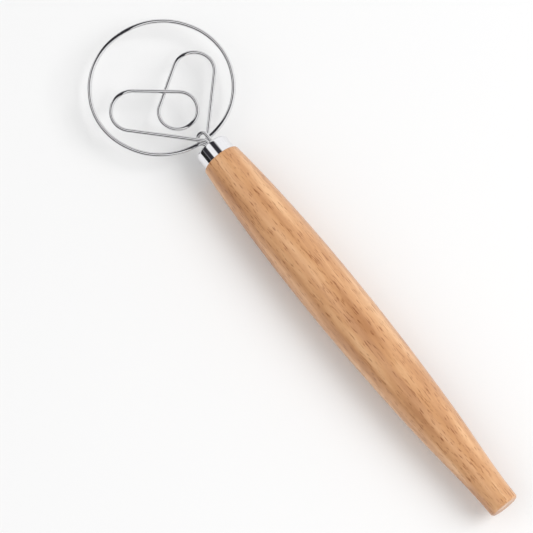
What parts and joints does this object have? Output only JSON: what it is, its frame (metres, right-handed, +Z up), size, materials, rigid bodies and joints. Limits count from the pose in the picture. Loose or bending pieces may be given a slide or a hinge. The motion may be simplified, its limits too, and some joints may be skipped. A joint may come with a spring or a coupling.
{
  "type": "dough whisk",
  "caption": "Hand dough whisk: a turned wooden handle, a metal ferrule, a round wire ring and a bent wire loop inside it that mixes stiff dough.",
  "frame": {"origin": "bottom centre of the whole whisk, on the surface that the belly of the handle lies on", "axes": "+X along the handle from the wire head to the butt, +Y to the left when looking along +X, +Z up, square to the plane of the wire ring"},
  "size_m": [0.3428, 0.0828, 0.0306],
  "materials": {
    "ring_wire": "polished stainless steel wire",
    "loop_wire": "polished stainless steel wire",
    "ferrule": "polished metal",
    "handle_wood": "varnished beech, satin gloss",
    "adhesive": "cured glue"
  },
  "bodies": {
    "root": {"outer_ring": "ring_wire", "inner_loop": "loop_wire", "ferrule": "ferrule", "handle": "handle_wood", "bore_adhesive": "adhesive"}
  },
  "joints": []
}
